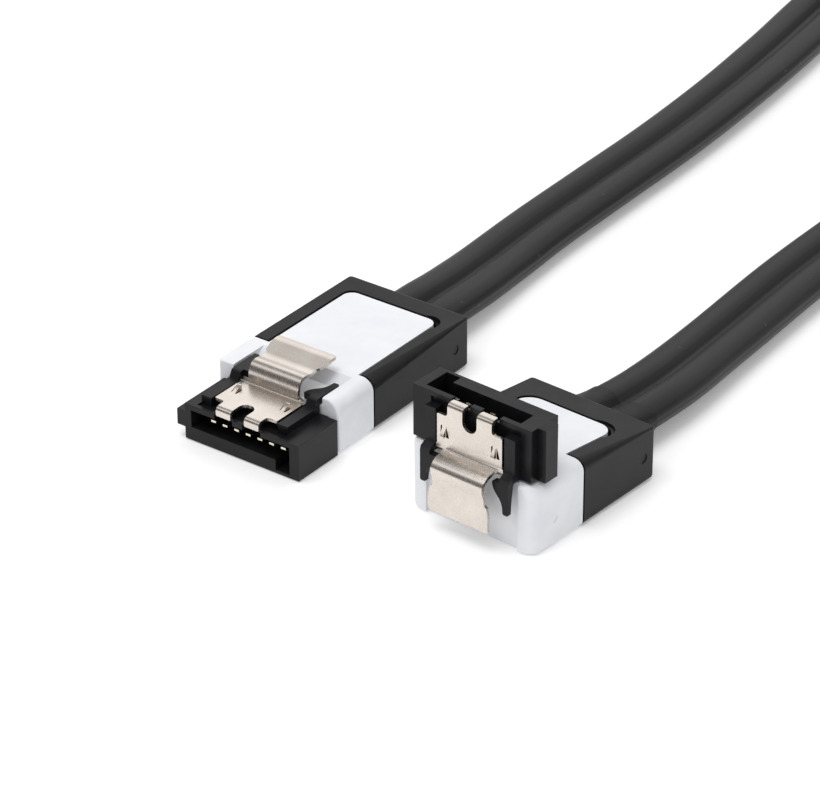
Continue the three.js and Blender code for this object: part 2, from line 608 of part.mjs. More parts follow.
function angledPlug() {
  const group = new THREE.Group();
  const end = matingEnd('angled',
    { lift: LIFT_ANGLED, slotWidth: SLOT_WIDTH_ANGLED, depth: DEPTH_ANGLED });
  // The mating end stands on its back: mouth up, latch to the front
  const stand = new THREE.Matrix4().makeBasis(
    new THREE.Vector3(-1, 0, 0), new THREE.Vector3(0, 0, -1), new THREE.Vector3(0, -1, 0));
  end.quaternion.setFromRotationMatrix(stand);
  end.position.set(0, ANGLED_HOUSING_BACK, ANGLED_SEAT + SEAM + DEPTH_ANGLED);
  group.add(end);

  const blank = mouldBlank(ANGLED_LENGTH, ANGLED_END, [
    [0, ANGLED_SEAT, MOULD_RIGHT_EDGE], [ANGLED_SEAT_LENGTH, ANGLED_SEAT, MOULD_RIGHT_EDGE],
    [ANGLED_LENGTH, ANGLED_BACK_HEIGHT, MOULD_RIGHT_EDGE_BACK],
  ]);
  const frameSizes = [ANGLED_ARM, ANGLED_BAR, ANGLED_CORNER];
  const contactY = ANGLED_HOUSING_BACK - contactZ;
  const wireTop = ANGLED_SEAT + SEAM - CONTACT_TAIL - WIRE_GAP;
  const fanBack = ANGLED_FRONT;
  const width = [-CONTACT_OFFSET - contactReach, -CONTACT_OFFSET + contactReach];
  const shaftFront = contactY - CONTACT_THICKNESS / 2 - PASSAGE_WALL;
  const shaftBack = contactY + CONTACT_THICKNESS / 2 + PASSAGE_WALL;
  const bend = [[shaftFront, passage[0]], [fanBack, passage[0]], [fanBack, passage[1]],
    [shaftBack, passage[1]], [shaftBack, ANGLED_SEAT + 1], [shaftFront, ANGLED_SEAT + 1]];
  const core = mouldCore(blank, ANGLED_FRONT, ANGLED_LENGTH, frameSizes)
    .subtract(block([-recessHalf, recessHalf], [-1, RECESS_UPRIGHT], [-1, ABOVE]))
    .subtract(prismX(bend, width));
  group.add(toMesh('mould_core_angled', core, materials.core));
  const frame = mouldFrame(blank, ANGLED_FRONT, ANGLED_LENGTH, frameSizes);
  group.add(toMesh('mould_frame_angled', frame, materials.frame));

  addWires(group, 'angled', (x, end) => [
    [-x, contactY, wireTop], [-x, contactY, wireTop - SIGNAL_RADIUS],
    [-(x + end) / 2, contactY + WIRE_BEND, CABLE_HEIGHT], [-end, fanBack - FAN_LEAD, CABLE_HEIGHT],
    [-end, fanBack - WIRE_GAP, CABLE_HEIGHT],
  ]);
  addPairs(group, 'angled', fanBack, ANGLED_LENGTH);
  return group;
}

// The route with its two ends at the plugs' backs
function fullRoute(lastPlug) {
  const first = [0, STRAIGHT_LENGTH + CABLE_GAP, CABLE_HEIGHT, 0];
  const last = new THREE.Vector3(0, ANGLED_LENGTH + CABLE_GAP, CABLE_HEIGHT).applyMatrix4(lastPlug.matrix);
  return [first, ...CABLE_ROUTE, [...last.toArray(), 0]];
}

function jacketSection() {
  const w = CABLE_WIDTH / 2;
  const t = CABLE_THICKNESS / 2;
  const upper = [[w, 0], [w * 0.9, t * 0.72], [w * 0.6, t], [0, CABLE_WAIST / 2],
    [-w * 0.6, t], [-w * 0.9, t * 0.72], [-w, 0]];
  return [...upper, ...upper.slice(1, -1).map(([x, z]) => [x, -z]).reverse()];
}

// A straight extrusion of the twin-lobed section, laid along the route and twisted with it
function cableJacket(route) {
  const middles = route.map(([x, y, z]) => new THREE.Vector3(x, y, z));
  const curve = new THREE.CatmullRomCurve3(middles, false, 'centripetal');
  curve.arcLengthDivisions = 2000;
  const twistSteps = route.map(([, , , twist]) => new THREE.Vector3(twist, 0, 0));
  const twists = new THREE.CatmullRomCurve3(twistSteps, false, 'catmullrom', 0);
  const geometry = extruded(jacketSection(), 1, CABLE_STEPS);
  const position = geometry.attributes.position;
  const up = new THREE.Vector3(0, 0, 1);
  for (let i = 0; i < position.count; i += 1) {
    const along = curve.getUtoTmapping(position.getZ(i));
    const centre = curve.getPoint(along);
    const tangent = curve.getTangent(along);
    const side = new THREE.Vector3().crossVectors(up, tangent).normalize();
    const normal = new THREE.Vector3().crossVectors(tangent, side);
    const twist = THREE.MathUtils.degToRad(twists.getPoint(along).x);
    const x = position.getX(i) * Math.cos(twist) - position.getY(i) * Math.sin(twist);
    const y = position.getX(i) * Math.sin(twist) + position.getY(i) * Math.cos(twist);
    centre.addScaledVector(side, x).addScaledVector(normal, y);
    position.setXYZ(i, centre.x, centre.y, centre.z);
  }
  return toSolid(geometry);
}

// A strap around both runs of the cable where they stand side by side on edge
function cableTie() {
  const [x0, y] = CABLE_ROUTE[TIE_POINTS[0]];
  const [x1] = CABLE_ROUTE[TIE_POINTS[1]];
  const middle = (x0 + x1) / 2;
  const innerHalf = Math.abs(x1 - x0) / 2 + CABLE_THICKNESS / 2 + TIE_SLACK;
  const innerTop = TIE_THICKNESS + CABLE_WIDTH + 2 * TIE_SLACK;
  const outer = block([middle - innerHalf - TIE_THICKNESS, middle + innerHalf + TIE_THICKNESS],
    [y - TIE_LENGTH / 2, y + TIE_LENGTH / 2], [0, innerTop + TIE_THICKNESS]);
  const hole = block([middle - innerHalf, middle + innerHalf], [y - TIE_LENGTH, y + TIE_LENGTH],
    [TIE_THICKNESS, innerTop]);
  return outer.subtract(hole);
}

const object = new THREE.Group();
object.add(straightPlug());
const angled = angledPlug();
angled.position.set(ANGLED_X, ANGLED_Y, 0);
angled.rotation.z = THREE.MathUtils.degToRad(ANGLED_TURN);
object.add(angled);

// The origin is the middle of the two plugs' footprint, on the surface that they stand on
object.updateMatrixWorld(true);
const plugs = new THREE.Box3().setFromObject(object, true);
const centre = plugs.getCenter(new THREE.Vector3());

object.add(toMesh('cable_jacket', cableJacket(fullRoute(angled)), materials.jacket));
object.add(toMesh('cable_tie', cableTie(), materials.tie));
object.position.set(-centre.x, -centre.y, 0);

export default object;
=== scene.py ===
"""A flat data cable with a straight and a right-angled latching plug, on a pale floor."""

import json
import math

import bmesh
import bpy
from mathutils import Matrix, Vector


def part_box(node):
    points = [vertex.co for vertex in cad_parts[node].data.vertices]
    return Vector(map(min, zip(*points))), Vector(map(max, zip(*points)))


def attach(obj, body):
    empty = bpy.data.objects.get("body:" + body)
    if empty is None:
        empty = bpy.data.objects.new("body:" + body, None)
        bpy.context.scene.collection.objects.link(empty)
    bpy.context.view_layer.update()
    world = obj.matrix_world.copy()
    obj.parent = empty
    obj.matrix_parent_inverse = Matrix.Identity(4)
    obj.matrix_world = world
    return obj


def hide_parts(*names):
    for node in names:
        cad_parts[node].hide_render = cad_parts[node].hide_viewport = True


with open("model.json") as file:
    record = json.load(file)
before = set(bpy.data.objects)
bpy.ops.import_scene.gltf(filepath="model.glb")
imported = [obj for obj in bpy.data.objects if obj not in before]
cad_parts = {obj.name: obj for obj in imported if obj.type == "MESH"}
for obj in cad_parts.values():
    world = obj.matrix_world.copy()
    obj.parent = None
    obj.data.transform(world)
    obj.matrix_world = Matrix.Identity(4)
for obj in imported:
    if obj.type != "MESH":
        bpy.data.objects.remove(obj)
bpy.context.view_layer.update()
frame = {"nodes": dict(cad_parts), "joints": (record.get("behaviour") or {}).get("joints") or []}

# The pieces are drawn in millimetres, each in its own frame, and then put in place in metres.
MM = 0.001

# Camera, fitted to the photograph, in degrees and millimetres
CAMERA_AZIMUTH = 36.742
CAMERA_ELEVATION = 30.298
CAMERA_ROLL = -0.274
CAMERA_DISTANCE = 322.94
CAMERA_TARGET = (-5.864, 4.296, 0.0)
CAMERA_LENS = 161.75
SENSOR = 36.0

# Gap at the seams, and the housing in its own frame: mouth at y = 0, latch side up, key at +X
SEAM = 0.2
HOUSING_DEPTH = {"straight": 5.4, "angled": 4.9}
HINGE_Z = 4.0

# How far cutting tools reach past what they cut
CLEAR = 1

# Rounding of the edges of each kind of piece
HOUSING_EDGE = 0.13
MOULD_EDGE = 0.1
SHEET_EDGE = 0.045
TIE_EDGE = 0.25

# Latch, one sheet of spring steel
SHEET = 0.3
SHEET_CORNER = 0.12
PLATE_HALF = 3.4
PLATE_SHOULDER = 1.25
PLATE_TOP = 4.25
FINGER_HALF_GAP = 0.75
FINGER_WIDTH = 1.57
FINGER_DROP = 0.7
FINGER_FILLET = 0.3
NOTCH_DEPTH = 0.7
FOOT_INSET = 0.3
EAR_REACH = 0.12
EAR_FRONT = 0.5
EAR_SLOPE_END = 0.42
EAR_SETBACK = 0.1
STRIP_HALF = 2.7
STRIP_FILLET = 0.2
RAMP_RUN = 0.12
RAMP_RISE = 1.2
HUMP_RUN = 0.75
HUMP_RISE = 1.95
VALLEY_RUN = 2.0
VALLEY_RISE = 1.58
TAB_HALF = 3.15
TAB_LENGTH = 3.0
TAB_RISE = 0.35
TAB_SHOULDER = 0.3
TAB_CORNER = 0.25
FLARE_SHIFT = 0.45
FLARE_LEAD = 0.7
FLARE_LENGTH = 1.2
CURL_LENGTH = 0.6
CURL_DROP = 0.1
# How far each bend of the sheet reaches, from the fingers to the curl
BENDS = [0.35, 0.28, 0.9, 0.9, 0.6, 0.3]
BEND_STEPS = 8
BARB_HOLE = 0.32
BARB_WIDTH = 0.36
BARB_LENGTH = 1.1
BARB_INSET = 0.75
BARB_SETBACK = 1.3
BARB_LIFT = 0.35
BARB_BACK = 0.25
BARB_ROOT = 0.1
BARB_GAP = 0.04
# Slits beside the barbs, and how far their corners stand back from the barb's two ends
SLIT_GAP = 0.03
SLIT_WIDTH = 0.16
SLIT_FRONT = 0.1
SLIT_REAR = 0.25
SLIT_HEEL = 0.15
# Tilt of the ramp, the hump and the tab behind the plate, in degrees
LATCH_LIFT = {"straight": 5.0, "angled": -5.0}

# Two-colour mouldings, each a pale core in a dark U-shaped frame. The frame begins at "front",
# its sides are as wide as "arm" and its back as "bar", and "end" rounds the core's front end.
MOULD_HALF = 6.6
MOULD_LEFT_EDGE = 0.2
MOULD_FOOT_EDGE = 0.45
MOULD_BACK_END = 0.35
MOULD_END_FALL = 0.3
PANEL_SINK = 0.06
MARK_DEPTH = 0.07
# The hollow outside the panel's right back corner
PIT_SHIFT = 0.2
PIT_DEPTH = 0.4
STRAIGHT = {
    "length": 18.9, "front": 4.9, "end": 0.35, "arm": 1.6, "bar": 2.2, "corner": 1.0,
    # height and radius of the right top edge at each y
    "sides": [(0, 5.0, 1.15), (6.5, 5.0, 1.15), (18.9, 5.0, 0.1)],
    # small round marks on the right side: y, z, radius
    "marks": [(16.9, 2.5, 0.45)],
}
ANGLED_SEAT = 6.4
ANGLED_HOUSING_BACK = 3.95
ANGLED = {
    "length": 16.4, "front": 6.5, "end": 1.0, "arm": 1.9, "bar": 2.9, "corner": 1.5,
    "sides": [(0, ANGLED_SEAT, 1.15), (4.9, ANGLED_SEAT, 1.15), (16.4, 5.1, 0.1)],
    "marks": [(2.7, 2.6, 0.4), (14.85, 2.6, 0.45)],
}
RECESS_HALF = 4.85
RECESS_DEPTH = 0.8
RECESS_FLAT = 3.0
RECESS_LENGTH = 4.2
RECESS_UPRIGHT = 0.35
# Hollows for the wires inside each core, as x and y
STRAIGHT_WELL = ((-4.5, 5.5), (-CLEAR, 7.4))
ANGLED_WELL = ((-5.5, 4.5), (1.3, 7.0))
ANGLED_SHAFT = ((-5.5, 4.5), (0.8, 1.9))
# The rounded rise around the cable at the right-angled moulding's back
COLLAR_HALF = 3.75
COLLAR_RISE = 2.45
COLLAR_RINGS = 5
COLLAR_OVERLAP = 0.9
COLLAR_FIT = 0.03
COLLAR_SQUARE = 5
COLLAR_SHOULDER = 0.4
# The cable's height where it leaves a plug, and the passage for its pairs
CABLE_HEIGHT = 2.5
PASSAGE = (1.65, 3.35)
PASSAGE_HALF = 3.1

# Flat twin-lobed jacket, with its length in metres
CABLE_WIDTH = 7.2
CABLE_GAP = 0.3
# Right half of its section's top edge, from the groove to the side
LOBE = [
    (0.0, 0.32), (0.28, 0.38), (0.55, 0.72), (0.85, 1.07), (1.3, 1.29), (1.95, 1.35), (2.75, 1.22),
    (3.3, 0.88), (3.58, 0.35),
]
LOBE_TOP = 1.35
LOBE_STEPS = 5
# Its middle line from the straight plug to the right-angled one: x, y, z and twist in degrees
ROUTE = [
    (-0.1, 22.4, 2.4, 0), (-0.45, 27.4, 2.0, -2), (-1.05, 33.4, 1.62, -4),
    (-1.6, 41.4, 1.55, -5), (-1.9, 52.4, 1.55, -5), (-2.2, 64.4, 1.55, -5),
    (-3.0, 76.4, 1.55, -5), (-4.3, 88.4, 1.52, -3), (-5.8, 99.4, 1.5, 0),
    (-6.5, 109.4, 2.2, 15), (-5.7, 119.0, 3.4, 46), (-3.4, 129.4, 3.85, 78),
    (-0.6, 140.0, 4.1, 90), (2.6, 150.4, 4.5, 90), (4.2, 159.4, 4.65, 90),
    (3.3, 166.7, 4.5, 90), (0.6, 173.5, 4.1, 90), (-5.0, 183.4, 3.7, 90),
    (-11.2, 193.6, 3.65, 90), (-16.8, 204.0, 3.65, 90), (-19.3, 215.4, 3.65, 90),
    (-17.3, 226.8, 3.65, 90), (-10.4, 236.3, 3.65, 90), (0.5, 241.8, 3.65, 90),
    (12.6, 242.0, 3.65, 90), (23.8, 236.9, 3.65, 90), (31.2, 227.6, 3.65, 90),
    (33.5, 216.2, 3.65, 90), (30.9, 204.4, 3.65, 90), (24.4, 193.6, 3.65, 90),
    (17.8, 183.4, 3.7, 90), (11.3, 173.5, 4.1, 90), (8.7, 166.7, 4.5, 90),
    (7.8, 159.4, 4.65, 90), (9.2, 150.0, 4.5, 90), (12.4, 139.0, 4.1, 90),
    (15.8, 128.0, 3.85, 76), (19.0, 117.0, 3.4, 46), (21.6, 106.0, 2.2, 15),
    (23.1, 95.0, 1.66, 6), (23.15, 81.0, 1.6, 6), (22.95, 66.4, 1.6, 6),
    (22.9, 48.4, 1.61, 6), (23.7, 32.4, 1.69, 7), (24.3, 22.4, 2.15, 4),
]

# Sizes of the patterns in the finishes, as repeats in a metre
PLASTIC_CLOUDS = 350.0
METAL_MARKS = 1400.0
STEEL_LINES = 2600.0
STEEL_CLOUDS = 420.0
JACKET_GRAIN = 5200.0
JACKET_DUST = 1500.0
FLOOR_CLOUDS = 3.0
# Repeats of the jacket's streaks around it and in each 0.1 m along it
JACKET_STREAKS = (26.0, 3.0, 1.0)

# Studio, in metres: the sky's tone at each height and its strength, dark patches of it as
# direction, angle from the middle to the edge in degrees and depth, the share of that angle
# that is fully dark, the key light and the floor
SKY = [
    (0.0, (0.14, 0.14, 0.145)), (0.12, (0.22, 0.22, 0.225)), (0.3, (0.62, 0.62, 0.625)),
    (0.5, (1.0, 1.0, 1.0)), (0.75, (0.65, 0.65, 0.65)), (1.0, (0.45, 0.45, 0.45)),
]
SKY_STRENGTH = 1.45
DARK_PATCHES = [
    ((-0.5, 0.05, 0.86), 26, 0.85),
    ((-0.52, -0.76, 0.38), 26, 0.95),
    ((1.0, -0.15, 0.25), 75, 0.55),
]
PATCH_CORE = 0.35
KEY_PLACE = (-0.06, -0.16, 0.70)
KEY_SIZE = 0.45
KEY_POWER = 2.1
FLOOR_SIZE = 6.0
FLOOR_DROP = 0.0001
FLOOR_GLOW = 0.2


# Places of the two plugs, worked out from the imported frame


def place_of_straight():
    """The straight moulding's frame: its front at y = 0, its middle at x = 0, in millimetres."""
    low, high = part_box("mould_core_straight")
    return Matrix.Translation(((low.x + high.x) / 2 / MM, low.y / MM, 0))


def place_of_angled():
    """The right-angled moulding's frame, from its latch's hinge."""
    hinge = next(j for j in frame["joints"] if j["name"] == "latch_angled_press")
    turn = Matrix.Rotation(math.atan2(hinge["axis"][1], hinge["axis"][0]), 4, "Z")
    at = Vector(hinge["pos_m"]) / MM
    back = turn @ Vector((0, ANGLED_HOUSING_BACK - HINGE_Z, 0))
    return Matrix.Translation((at.x - back.x, at.y - back.y, 0)) @ turn


MOULD_PLACE = {"straight": place_of_straight(), "angled": place_of_angled()}
STAND_UP = Matrix(((-1, 0, 0, 0), (0, 0, -1, ANGLED_HOUSING_BACK),
                   (0, -1, 0, ANGLED_SEAT + SEAM + HOUSING_DEPTH["angled"]), (0, 0, 0, 1)))
HOUSING_PLACE = {
    "straight": MOULD_PLACE["straight"] @ Matrix.Translation(
        (0, -HOUSING_DEPTH["straight"] - SEAM, 0)),
    "angled": MOULD_PLACE["angled"] @ STAND_UP,
}


# Outlines


def arc(centre, radius, start, end, steps=10):
    """Points of an arc, with its angles in degrees."""
    angles = [math.radians(start + (end - start) * i / steps) for i in range(steps + 1)]
    return [(centre[0] + radius * math.cos(a), centre[1] + radius * math.sin(a)) for a in angles]


def mirrored(half):
    """The outline whose right half is given, with its left half added."""
    return [*half, *[(-x, y) for x, y in reversed(half)]]


def softened(points, radii):
    """A polyline whose inner corners are rounded by short curves, each with its own reach."""
    corners = [Vector(p) for p in points]
    path = [corners[0]]
    for before, corner, after, radius in zip(corners, corners[1:], corners[2:], radii):
        back, on = before - corner, after - corner
        a = corner + back.normalized() * min(radius, back.length * 0.48)
        b = corner + on.normalized() * min(radius, on.length * 0.48)
        for i in range(BEND_STEPS + 1):
            t = i / BEND_STEPS
            path.append(a * (1 - t) ** 2 + corner * (2 * t * (1 - t)) + b * t ** 2)
    return [*path, corners[-1]]


# Solids


def link(name, mesh):
    obj = bpy.data.objects.new(name, mesh)
    bpy.context.scene.collection.objects.link(obj)
    return obj


def from_faces(name, points, faces):
    mesh = bpy.data.meshes.new(name)
    mesh.from_pydata([tuple(p) for p in points], [], faces)
    bm = bmesh.new()
    bm.from_mesh(mesh)
    bmesh.ops.recalc_face_normals(bm, faces=bm.faces)
    bm.to_mesh(mesh)
    bm.free()
    return link(name, mesh)


def loft(name, rings):
    """A solid through rings of points that all have the same count."""
    count = len(rings[0])
    faces = [
        (r * count + i, r * count + (i + 1) % count,
         (r + 1) * count + (i + 1) % count, (r + 1) * count + i)
        for r in range(len(rings) - 1) for i in range(count)
    ]
    last = (len(rings) - 1) * count
    faces += [tuple(range(count)), tuple(last + i for i in range(count))]
    return from_faces(name, [p for ring in rings for p in ring], faces)


def prism(outline, low, high, axis):
    """An outline in the other two axes, drawn out along X or Z."""
    place = {
        "X": lambda u, v, w: (w, u, v),
        "Z": lambda u, v, w: (u, v, w),
    }[axis]
    return loft("prism", [[place(u, v, w) for u, v in outline] for w in (low, high)])


def block(x, y, z):
    return prism([(x[0], y[0]), (x[1], y[0]), (x[1], y[1]), (x[0], y[1])], *z, "Z")


def settle(obj):
    """Applies an object's modifiers."""
    depsgraph = bpy.context.evaluated_depsgraph_get()
    mesh = bpy.data.meshes.new_from_object(obj.evaluated_get(depsgraph))
    obj.modifiers.clear()
    obj.data = mesh
    return obj


def combine(obj, other, operation):
    step = obj.modifiers.new("combine", "BOOLEAN")
    step.operation = operation
    step.object = other
    step.solver = "EXACT"
    settle(obj)
    bpy.data.objects.remove(other)
    return obj


def cut(obj, *tools):
    for tool in tools:
        combine(obj, tool, "DIFFERENCE")
    return obj


def join(obj, *others):
    for other in others:
        combine(obj, other, "UNION")
    return obj


def keep(obj, other):
    return combine(obj, other, "INTERSECT")


def cleaned(obj, flat=1.0):
    """Merges doubled points and flat neighbouring faces."""
    bm = bmesh.new()
    bm.from_mesh(obj.data)
    bmesh.ops.remove_doubles(bm, verts=bm.verts, dist=0.002)
    bmesh.ops.dissolve_limit(bm, angle_limit=math.radians(flat), verts=bm.verts, edges=bm.edges)
    bmesh.ops.recalc_face_normals(bm, faces=bm.faces)
    bm.to_mesh(obj.data)
    bm.free()
    return obj


def bevelled(obj, width, segments=3, angle=28.0):
    """Rounds every sharp edge a little and shades the whole smoothly."""
    step = obj.modifiers.new("edges", "BEVEL")
    step.width = width
    step.segments = segments
    step.limit_method = "ANGLE"
    step.angle_limit = math.radians(angle)
    step.miter_outer = "MITER_ARC"
    step.use_clamp_overlap = True
    settle(obj)
    obj.data.shade_smooth()
    even = obj.modifiers.new("normals", "WEIGHTED_NORMAL")
    even.keep_sharp = True
    return settle(obj)


def placed(obj, name, matrix):
    """Moves a finished piece from its own frame in millimetres to the shared frame in metres."""
    obj.name = name
    obj.data.name = name
    obj.data.transform(Matrix.Scale(MM, 4) @ matrix)
    return obj


def installed(obj, body, material, *nodes):
    """Gives a piece its finish and body, and hides the solids it stands for."""
    obj.data.materials.clear()
    obj.data.materials.append(material["made"])
    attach(obj, body)
    if nodes:
        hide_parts(*nodes)
    return obj


# Materials


def coordinates(nodes, links, scale, source="Object"):
    """Texture coordinates, in metres where they are the object's own, scaled along each axis."""
    origin = nodes.new("ShaderNodeTexCoord")
    mapping = nodes.new("ShaderNodeMapping")
    mapping.inputs["Scale"].default_value = scale
    links.new(origin.outputs[source], mapping.inputs["Vector"])
    return mapping.outputs["Vector"]


def noise(nodes, links, vector, scale, detail=3.0, roughness=0.55):
    node = nodes.new("ShaderNodeTexNoise")
    node.inputs["Scale"].default_value = scale
    node.inputs["Detail"].default_value = detail
    node.inputs["Roughness"].default_value = roughness
    links.new(vector, node.inputs["Vector"])
    return node.outputs["Fac"]


def ramp(nodes, links, factor, stops):
    node = nodes.new("ShaderNodeValToRGB")
    elements = node.color_ramp.elements
    while len(elements) < len(stops):
        elements.new(0.5)
    for element, (position, color) in zip(elements, stops):
        element.position = position
        element.color = (*color, 1)
    links.new(factor, node.inputs["Fac"])
    return node.outputs["Color"]


def spread(nodes, links, factor, low, high):
    """Maps a 0 to 1 pattern to a range."""
    node = nodes.new("ShaderNodeMapRange")
    node.inputs["From Min"].default_value = 0.3
    node.inputs["From Max"].default_value = 0.7
    node.inputs["To Min"].default_value = low
    node.inputs["To Max"].default_value = high
    links.new(factor, node.inputs["Value"])
    return node.outputs["Result"]


def bump(nodes, links, height, distance, strength, normal=None):
    node = nodes.new("ShaderNodeBump")
    node.inputs["Distance"].default_value = distance
    node.inputs["Strength"].default_value = strength
    links.new(height, node.inputs["Height"])
    if normal is not None:
        links.new(normal, node.inputs["Normal"])
    return node.outputs["Normal"]


def new_material(name, slot):
    made = bpy.data.materials.new(name)
    made.use_nodes = True
    tree = made.node_tree
    return {"made": made, "slot": slot, "nodes": tree.nodes, "links": tree.links,
            "shader": tree.nodes["Principled BSDF"]}


def moulded(name, slot, dark, light, gloss, grain, bump_strength, sheen=0.5):
    """Moulded plastic: clouded colour, uneven gloss and a fine grain."""
    material = new_material(name, slot)
    nodes, links, shader = material["nodes"], material["links"], material["shader"]
    vector = coordinates(nodes, links, (1, 1, 1))
    clouds = noise(nodes, links, vector, PLASTIC_CLOUDS, 4.0)
    specks = noise(nodes, links, vector, grain, 2.0, 0.7)
    color = ramp(nodes, links, clouds, [(0.32, dark), (0.68, light)])
    links.new(color, shader.inputs["Base Color"])
    links.new(spread(nodes, links, clouds, *gloss), shader.inputs["Roughness"])
    soft = bump(nodes, links, clouds, 0.00002, 0.25)
    links.new(bump(nodes, links, specks, 0.00001, bump_strength, soft), shader.inputs["Normal"])
    shader.inputs["Specular IOR Level"].default_value = sheen
    return material


def rolled_steel(name, slot):
    """Bright strip steel: warm tone, fine rolling lines along it and faint handling marks."""
    material = new_material(name, slot)
    nodes, links, shader = material["nodes"], material["links"], material["shader"]
    lines = noise(nodes, links, coordinates(nodes, links, (6, 1, 1)), STEEL_LINES, 2.0, 0.6)
    clouds = noise(nodes, links, coordinates(nodes, links, (1, 1, 1)), STEEL_CLOUDS, 3.0)
    tone = [(0.3, (0.66, 0.60, 0.545)), (0.55, (0.71, 0.65, 0.595)), (0.75, (0.75, 0.695, 0.645))]
    links.new(ramp(nodes, links, clouds, tone), shader.inputs["Base Color"])
    links.new(spread(nodes, links, lines, 0.25, 0.31), shader.inputs["Roughness"])
    soft = bump(nodes, links, clouds, 0.00002, 0.12)
    links.new(bump(nodes, links, lines, 0.0000015, 0.15, soft), shader.inputs["Normal"])
    shader.inputs["Metallic"].default_value = 1.0
    return material


def bare_metal(name, slot, dark, light, gloss):
    """Plated, drawn or wrapped metal with uneven tone and gloss."""
    material = new_material(name, slot)
    nodes, links, shader = material["nodes"], material["links"], material["shader"]
    marks = noise(nodes, links, coordinates(nodes, links, (1, 1, 1)), METAL_MARKS, 3.0)
    links.new(ramp(nodes, links, marks, [(0.3, dark), (0.7, light)]), shader.inputs["Base Color"])
    links.new(spread(nodes, links, marks, *gloss), shader.inputs["Roughness"])
    links.new(bump(nodes, links, marks, 0.000006, 0.3), shader.inputs["Normal"])
    shader.inputs["Metallic"].default_value = 1.0
    return material


def extruded_jacket(name, slot):
    """Extruded plastic: streaks drawn along the cable, a fine grain and a few dust specks."""
    material = new_material(name, slot)
    nodes, links, shader = material["nodes"], material["links"], material["shader"]
    along = coordinates(nodes, links, JACKET_STREAKS, "UV")
    streaks = noise(nodes, links, along, 1.0, 3.0)
    vector = coordinates(nodes, links, (1, 1, 1))
    grain = noise(nodes, links, vector, JACKET_GRAIN, 2.0, 0.7)
    dust = noise(nodes, links, vector, JACKET_DUST, 1.0, 0.4)
    base = ramp(nodes, links, streaks, [(0.3, (0.009, 0.009, 0.010)), (0.7, (0.016, 0.016, 0.017))])
    specks = ramp(nodes, links, dust, [(0.76, (0, 0, 0)), (0.82, (0.03, 0.03, 0.03))])
    mix = nodes.new("ShaderNodeMix")
    mix.data_type = "RGBA"
    mix.blend_type = "ADD"
    mix.inputs["Factor"].default_value = 1.0
    links.new(base, mix.inputs["A"])
    links.new(specks, mix.inputs["B"])
    links.new(mix.outputs["Result"], shader.inputs["Base Color"])
    links.new(spread(nodes, links, streaks, 0.36, 0.46), shader.inputs["Roughness"])
    shader.inputs["Specular IOR Level"].default_value = 0.24
    soft = bump(nodes, links, streaks, 0.00002, 0.2)
    links.new(bump(nodes, links, grain, 0.000008, 0.35, soft), shader.inputs["Normal"])
    return material


MATERIALS = {
    "housing": moulded("housing_plastic", "housing_black",
                       (0.006, 0.006, 0.007), (0.011, 0.011, 0.013),
                       (0.30, 0.42), 6000.0, 0.25, 0.2),
    "core": moulded("white_plastic", "moulding_white", (0.80, 0.81, 0.85), (0.86, 0.87, 0.90),
                    (0.32, 0.42), 5200.0, 0.12),
    "frame": moulded("black_plastic", "moulding_black",
                     (0.006, 0.006, 0.007), (0.011, 0.011, 0.012),
                     (0.34, 0.46), 4200.0, 0.4, 0.2),
    "tie": moulded("tie_plastic", "tie_black", (0.012, 0.012, 0.013), (0.020, 0.020, 0.021),
                   (0.40, 0.55), 4200.0, 0.3),
    "insulation": moulded("insulation_plastic", "wire_insulation",
                          (0.70, 0.71, 0.69), (0.78, 0.79, 0.77), (0.40, 0.50), 5200.0, 0.2),
    "steel": rolled_steel("spring_steel", "latch_steel"),
    "contact": bare_metal("plated_contact", "contact_gold", (0.86, 0.78, 0.62), (0.97, 0.91, 0.78),
                          (0.18, 0.28)),
    "copper": bare_metal("drawn_copper", "copper", (0.62, 0.34, 0.20), (0.78, 0.48, 0.32),
                         (0.25, 0.40)),
    "foil": bare_metal("wrapped_foil", "foil", (0.66, 0.67, 0.69), (0.82, 0.83, 0.85),
                       (0.28, 0.45)),
    "jacket": extruded_jacket("jacket_plastic", "jacket_black"),
}
# Finishes of the nodes that keep their solids, by how their names begin
KEPT_FINISHES = {
    "contact": "contact", "signal": "insulation", "ground": "copper", "shielded": "foil",
}


# Camera


def add_camera():
    azimuth, elevation = math.radians(CAMERA_AZIMUTH), math.radians(CAMERA_ELEVATION)
    back = Vector((math.sin(azimuth) * math.cos(elevation),
                   -math.cos(azimuth) * math.cos(elevation), math.sin(elevation)))
    right = Vector((math.cos(azimuth), math.sin(azimuth), 0))
    up = back.cross(right)
    turn = Matrix.Rotation(math.radians(CAMERA_ROLL), 3, "Z")
    axes = Matrix((right, up, back)).transposed() @ turn
    data = bpy.data.cameras.new("camera")
    data.lens = CAMERA_LENS
    data.sensor_width = SENSOR
    data.sensor_fit = "HORIZONTAL"
    camera = bpy.data.objects.new("camera", data)
    camera.matrix_world = axes.to_4x4()
    camera.location = (Vector(CAMERA_TARGET) + back * CAMERA_DISTANCE) * MM
    bpy.context.scene.collection.objects.link(camera)
    bpy.context.scene.camera = camera


# Cable


